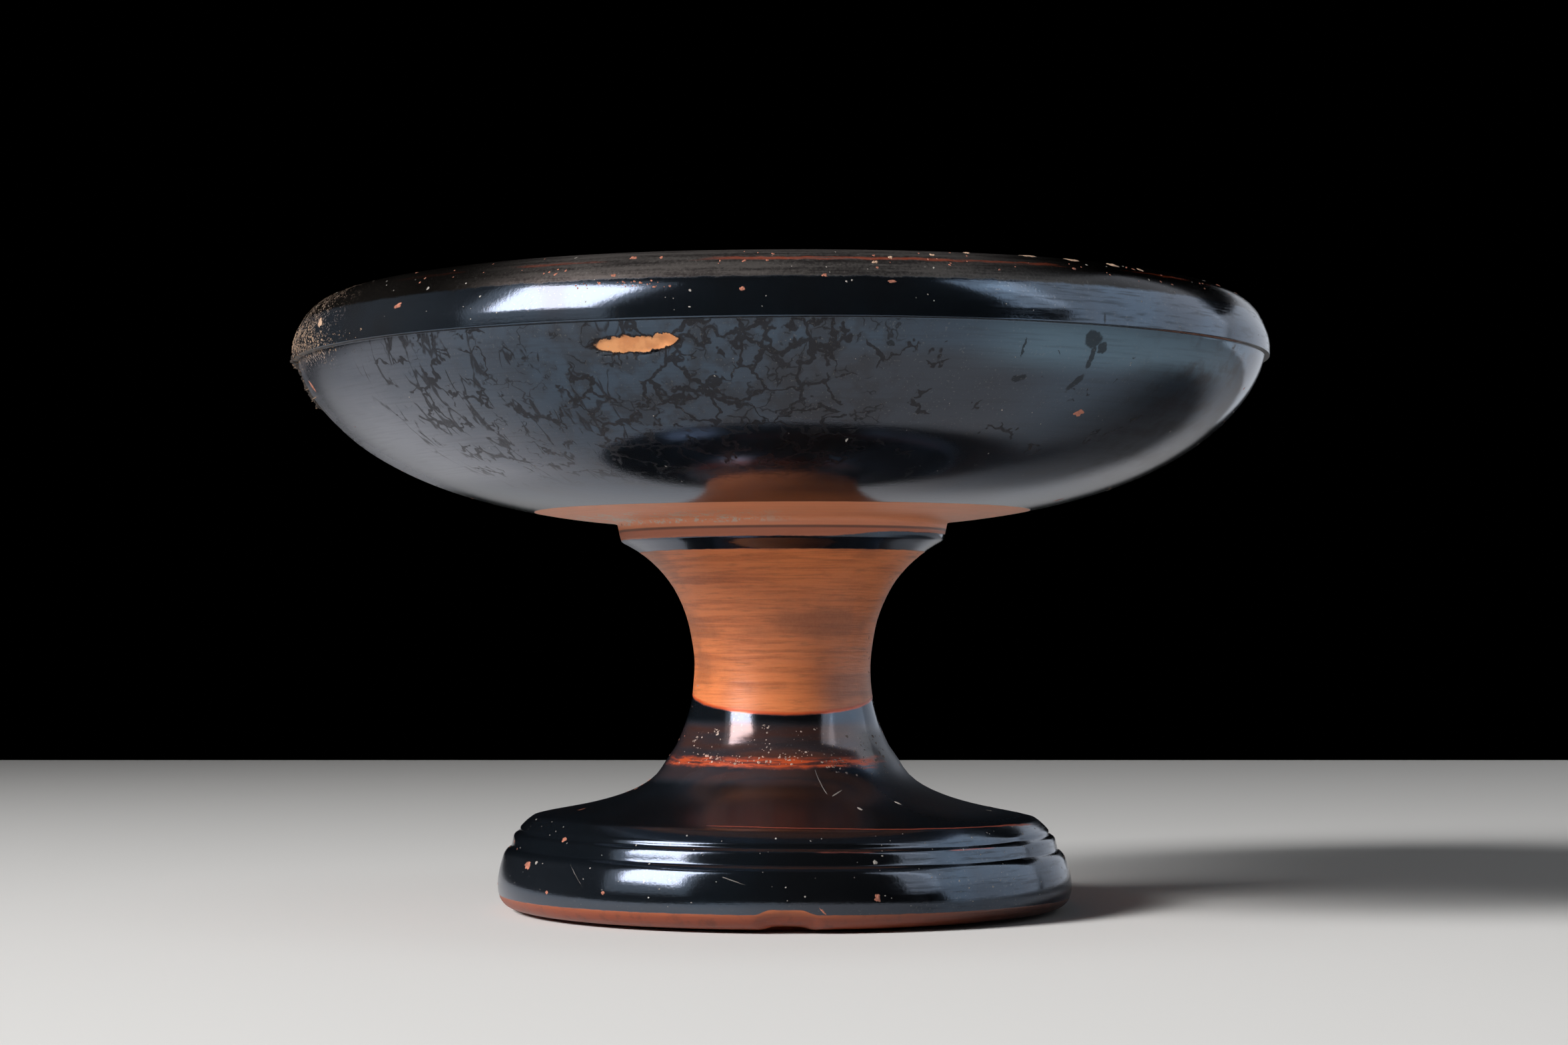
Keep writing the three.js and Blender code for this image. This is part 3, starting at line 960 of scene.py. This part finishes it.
def powder():
    """Matt clay, soil and lime in the colour that each patch carries."""
    p = Paint("loose_clay_and_soil")
    place = p.vector("SCALE", Wire(p, p.node("TexCoord").outputs["Object"]), scale=1 / MM)
    tint = Wire(p, p.node("Attribute", attribute_name="tint").outputs["Color"])
    grain = p.noise(place, 0.35, rough=0.7)
    colour = p.mix(p.ease(grain, 0.45, 0.75) * 0.55, tint, (0.12, 0.075, 0.055))
    p.feed(p.shader.inputs["Base Color"], colour)
    p.feed(p.shader.inputs["Roughness"], 0.75)
    p.feed(p.shader.inputs["Normal"], p.raised(grain, 0.1 * MM))
    return p.material


# ---- Operators ----

class CUP_OT_vessel(bpy.types.Operator):
    """Make the fired vessel: foot, stem, bowl and lip as one worn, chipped skin"""

    bl_idname = "cup.vessel"
    bl_label = "Vessel"

    def execute(self, context):
        shape, finish = context.scene.cup_shape, context.scene.cup_finish
        radius, height, side, along = profile_rows(shape)
        grid = vessel_points(shape, bearings(COLUMNS)[None, :], along[:, None])[0] * MM
        rows, columns = grid.shape[:2]
        inner = slice(1, rows - 1)  # the first and last row are single points on the axis
        ring = grid[inner].reshape(-1, 3)
        poles = np.stack([grid[0].mean(0), grid[-1].mean(0)])
        mesh = bpy.data.meshes.new("worn_cup")
        fill_mesh(mesh, np.vstack([ring, poles]), *grid_faces(rows - 2, columns))
        turned = np.stack([radius, height, side], -1)
        turned = np.vstack([np.repeat(turned[inner], columns, axis=0), turned[[0, -1]]])
        store(mesh, "turned", "FLOAT_VECTOR", "vector", turned)
        along = np.append(np.repeat(along[inner], columns), along[[0, -1]])
        store(mesh, "along", "FLOAT", "value", along)
        cup = new_piece("worn_cup", mesh, pottery(finish, shape))
        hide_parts("cup")
        return {"FINISHED"}


def add_patches(context, name, groups, seed):
    """Makes one piece of several groups of patches, each given as marks, lift and tint."""
    chance = np.random.default_rng(seed)
    marks, lifts, tints = [], [], []
    for group, lift, tint in groups:
        marks += group
        lifts += [lift * k for k in chance.uniform(0.6, 1.4, len(group))]
        tints += [[c * k for c in tint] for k in chance.uniform(0.75, 1.15, len(group))]
    points, quads, fans, tint = patches(context.scene.cup_shape, marks, lifts, tints, seed)
    mesh = bpy.data.meshes.new(name)
    fill_mesh(mesh, points, quads, fans)
    store(mesh, "tint", "FLOAT_COLOR", "color", np.column_stack([tint, np.ones(len(tint))]))
    material = bpy.data.materials.get("loose_clay_and_soil") or powder()
    return new_piece(name, mesh, material)


class CUP_OT_chips(bpy.types.Operator):
    """Make the chips where clay and lime show through the slip"""

    bl_idname = "cup.chips"
    bl_label = "Chips and Specks"

    def execute(self, context):
        salmon, cream, pale = (0.46, 0.17, 0.11), (0.6, 0.4, 0.28), (0.42, 0.39, 0.36)
        groups = [
            (crumbled(SALMON_CHIPS, 7), 0.04, salmon),
            (crumbled(CREAM_CHIPS, 8), 0.07, cream),
            (PALE_SPECKS, 0.03, pale),
            (SCRATCHES, 0.01, (0.2, 0.19, 0.18)),
            (scattered(1, 26, (-22, -11), (106.6, 107.8), (0.15, 0.4)), 0.03, salmon),
            (scattered(2, 70, (-80, 75), (102, 113), (0.12, 0.32)), 0.02, pale),
            (scattered(3, 60, (-50, 75), (109.5, 113), (0.15, 0.5)), 0.04, salmon),
            (scattered(4, 110, (-75, 75), (4, 17), (0.1, 0.3)), 0.02, pale),
            (scattered(5, 40, (-70, 70), (77, 99), (0.1, 0.25)), 0.02, pale),
            (scattered(6, 300, (70, 290), (4, 113), (0.15, 0.6)), 0.03, salmon),
            (scattered(7, 200, (70, 290), (4, 113), (0.12, 0.4)), 0.02, pale),
        ]
        add_patches(context, "chips", groups, 21)
        return {"FINISHED"}


class CUP_OT_earth(bpy.types.Operator):
    """Make the soil and lime that have dried on the lip and the flare"""

    bl_idname = "cup.earth"
    bl_label = "Dried Earth"

    def execute(self, context):
        earth = tuple(context.scene.cup_finish.earth)
        dark, lime = (0.02, 0.017, 0.015), (0.5, 0.4, 0.35)
        lip = [(-70, 105), (-74, 103), (-66, 103), (-78, 105), (-84, 104), (-62, 101.8)]
        crust = [(-86, 101), (-88, 98.5), (-84, 96.5), (-91, 95), (-94, 99)]
        flare = [
            (-56, 31.9), (-41, 33.2), (-9.5, 34.2), (-7.8, 30.4), (2, 29), (11.5, 29.8), (23, 27.3),
        ]
        groups = [
            (gathered(31, lip, 60, (4, 1.3), (0.12, 0.5)), 0.07, earth),
            (gathered(32, crust, 14, (3, 1.2), (0.5, 1.6)), 0.4, dark),
            (gathered(33, crust, 5, (3, 1.2), (0.15, 0.4)), 0.6, earth),
            (gathered(34, flare, 8, (2, 0.5), (0.12, 0.36)), 0.05, lime),
            (scattered(35, 36, (-66, 24), (27.2, 34), (0.1, 0.3)), 0.04, lime),
            (scattered(36, 60, (-52, 10), (27.5, 29.2), (0.14, 0.5)), 0.05, (0.5, 0.33, 0.27)),
            (scattered(37, 90, (20, 66), (25.5, 32.5), (0.12, 0.5)), 0.03, (0.16, 0.13, 0.12)),
        ]
        add_patches(context, "dried_earth", groups, 22)
        return {"FINISHED"}


def softbox(name, place, size, colour, glow=None, power=None, matt=True, shine=True, look=None):
    """A rectangular lamp at a bearing, rise and distance round the middle of the cup.

    It faces the middle of the cup or the point that it looks at, and lights matt surfaces, shows
    as a shine in glossy ones, or does both. Its power may be given by the brightness of its face.
    """
    bearing, rise, distance = place
    b, e = math.radians(bearing), math.radians(rise)
    middle = Vector((0, 0, (CAD_LOW.z + CAD_HIGH.z) / 2))
    back = Vector((math.sin(b) * math.cos(e), -math.cos(b) * math.cos(e), math.sin(e)))
    lamp = bpy.data.lights.new(name, "AREA")
    lamp.shape = "RECTANGLE"
    lamp.size, lamp.size_y = size
    lamp.energy = glow * math.pi * size[0] * size[1] if power is None else power
    lamp.color = colour
    holder = bpy.data.objects.new(name, lamp)
    holder.location = middle + back * distance
    away = holder.location - (look or middle)
    holder.rotation_euler = away.to_track_quat("Z", "Y").to_euler()
    holder.visible_diffuse, holder.visible_glossy, holder.visible_camera = matt, shine, False
    bpy.context.scene.collection.objects.link(holder)
    return holder


# The screen on the right, at one distance: name, bearing and half width in degrees, the rise of
# its lower and upper edge, and its share of the brightness
SCREEN = (
    ("front", 57, 7, 10, 53, 1.0),
    ("side", 92, 28, -4, 53, 0.82),
    ("back", 139, 19, -6, 22, 0.5),
)
SCREEN_REACH = 0.85
HALO_SHARE, FILL_SHARE = 0.045, 0.07  # of the key shine's and of the screen's brightness
KEY_SPREAD = 57  # degrees
FLOOR_REACH, FLOOR_BACK = 4.0, 0.673  # its reach to the front and sides, and behind the cup
CAMERA_PLACE, CAMERA_RISE = (0.00025, -0.58125, 0.05125), 2.045  # it looks up by so many degrees
LENS, SENSOR_WIDTH = 71.14, 36  # millimetres


class CUP_OT_stage(bpy.types.Operator):
    """Make the floor, the softboxes and the camera"""

    bl_idname = "cup.stage"
    bl_label = "Stage"

    def execute(self, context):
        scene, stage = context.scene, context.scene.cup_stage
        mesh = bpy.data.meshes.new("floor")
        front, back, side = -FLOOR_REACH, FLOOR_BACK, FLOOR_REACH
        corners = [(-side, front, 0), (side, front, 0), (side, back, 0), (-side, back, 0)]
        mesh.from_pydata(corners, [], [(0, 1, 2, 3)])
        floor = bpy.data.objects.new("floor", mesh)
        scene.collection.objects.link(floor)
        matt = Paint("floor_card")
        matt.feed(matt.shader.inputs["Base Color"], stage.floor)
        matt.feed(matt.shader.inputs["Roughness"], 0.9)
        matt.feed(matt.shader.inputs["Specular IOR Level"], 0.1)
        mesh.materials.append(matt.material)

        warm, cool, plain = (1, 0.985, 0.96), (0.9, 0.95, 1.0), (1, 1, 1)
        key = softbox("key", (-59, 29, 2.3), (0.68, 0.68), warm, power=stage.key, shine=False,
                      look=Vector((0, -0.3, 0)))
        key.data.spread = math.radians(KEY_SPREAD)
        softbox("key_shine", (-54.7, 31, 1.25), (0.58, 0.72), (1, 0.84, 0.8), glow=stage.window,
                matt=False)
        softbox("key_halo", (-56, 30, 1.3), (0.9, 1.1), warm, glow=stage.window * HALO_SHARE,
                matt=False)
        for name, bearing, half_turn, low, high, share in SCREEN:
            half_angles = half_turn, (high - low) / 2
            size = [2 * SCREEN_REACH * math.tan(math.radians(a)) for a in half_angles]
            softbox(f"screen_{name}", (bearing, (low + high) / 2, SCREEN_REACH), size, cool,
                    glow=stage.panel * share, matt=False)
        softbox("side_fill", (100, 24, 0.85), (1.25, 0.95), cool, glow=stage.panel * FILL_SHARE,
                shine=False)
        softbox("overhead", (0, 86, 1.2), (0.9, 0.5), plain, power=stage.fill, shine=False)

        world = bpy.data.worlds.new("dark_room")
        world.use_nodes = True
        world.node_tree.nodes["Background"].inputs[0].default_value = (0, 0, 0, 1)
        scene.world = world
        scene.view_settings.view_transform = "Standard"

        lens = bpy.data.cameras.new("camera")
        lens.sensor_width, lens.lens = SENSOR_WIDTH, LENS
        lens.clip_start, lens.clip_end = 0.01, 20
        camera = bpy.data.objects.new("camera", lens)
        camera.location = CAMERA_PLACE
        camera.rotation_euler = (math.radians(90 + CAMERA_RISE), 0, 0)
        scene.collection.objects.link(camera)
        scene.camera = camera
        return {"FINISHED"}


class CUP_PT_sidebar(bpy.types.Panel):
    """Buttons and settings for the cup"""

    bl_idname = "CUP_PT_sidebar"
    bl_label = "Stemmed Cup"
    bl_space_type = "VIEW_3D"
    bl_region_type = "UI"
    bl_category = "Cup"

    def draw(self, context):
        for operator in OPERATORS:
            self.layout.operator(operator.bl_idname)
        for group in (context.scene.cup_shape, context.scene.cup_finish, context.scene.cup_stage):
            box = self.layout.box()
            for key in group.__annotations__:
                box.prop(group, key)


SETTINGS = {"cup_shape": CupShape, "cup_finish": CupFinish, "cup_stage": CupStage}
OPERATORS = (CUP_OT_vessel, CUP_OT_chips, CUP_OT_earth, CUP_OT_stage)


def register():
    for group in SETTINGS.values():
        bpy.utils.register_class(group)
    for operator in OPERATORS:
        bpy.utils.register_class(operator)
    bpy.utils.register_class(CUP_PT_sidebar)
    for key, group in SETTINGS.items():
        setattr(bpy.types.Scene, key, bpy.props.PointerProperty(type=group))


def unregister():
    for key in SETTINGS:
        delattr(bpy.types.Scene, key)
    bpy.utils.unregister_class(CUP_PT_sidebar)
    for operator in reversed(OPERATORS):
        bpy.utils.unregister_class(operator)
    for group in reversed(SETTINGS.values()):
        bpy.utils.unregister_class(group)


def main():
    register()
    bpy.ops.cup.vessel()
    bpy.ops.cup.chips()
    bpy.ops.cup.earth()
    bpy.ops.cup.stage()


if __name__ == "__main__":
    main()
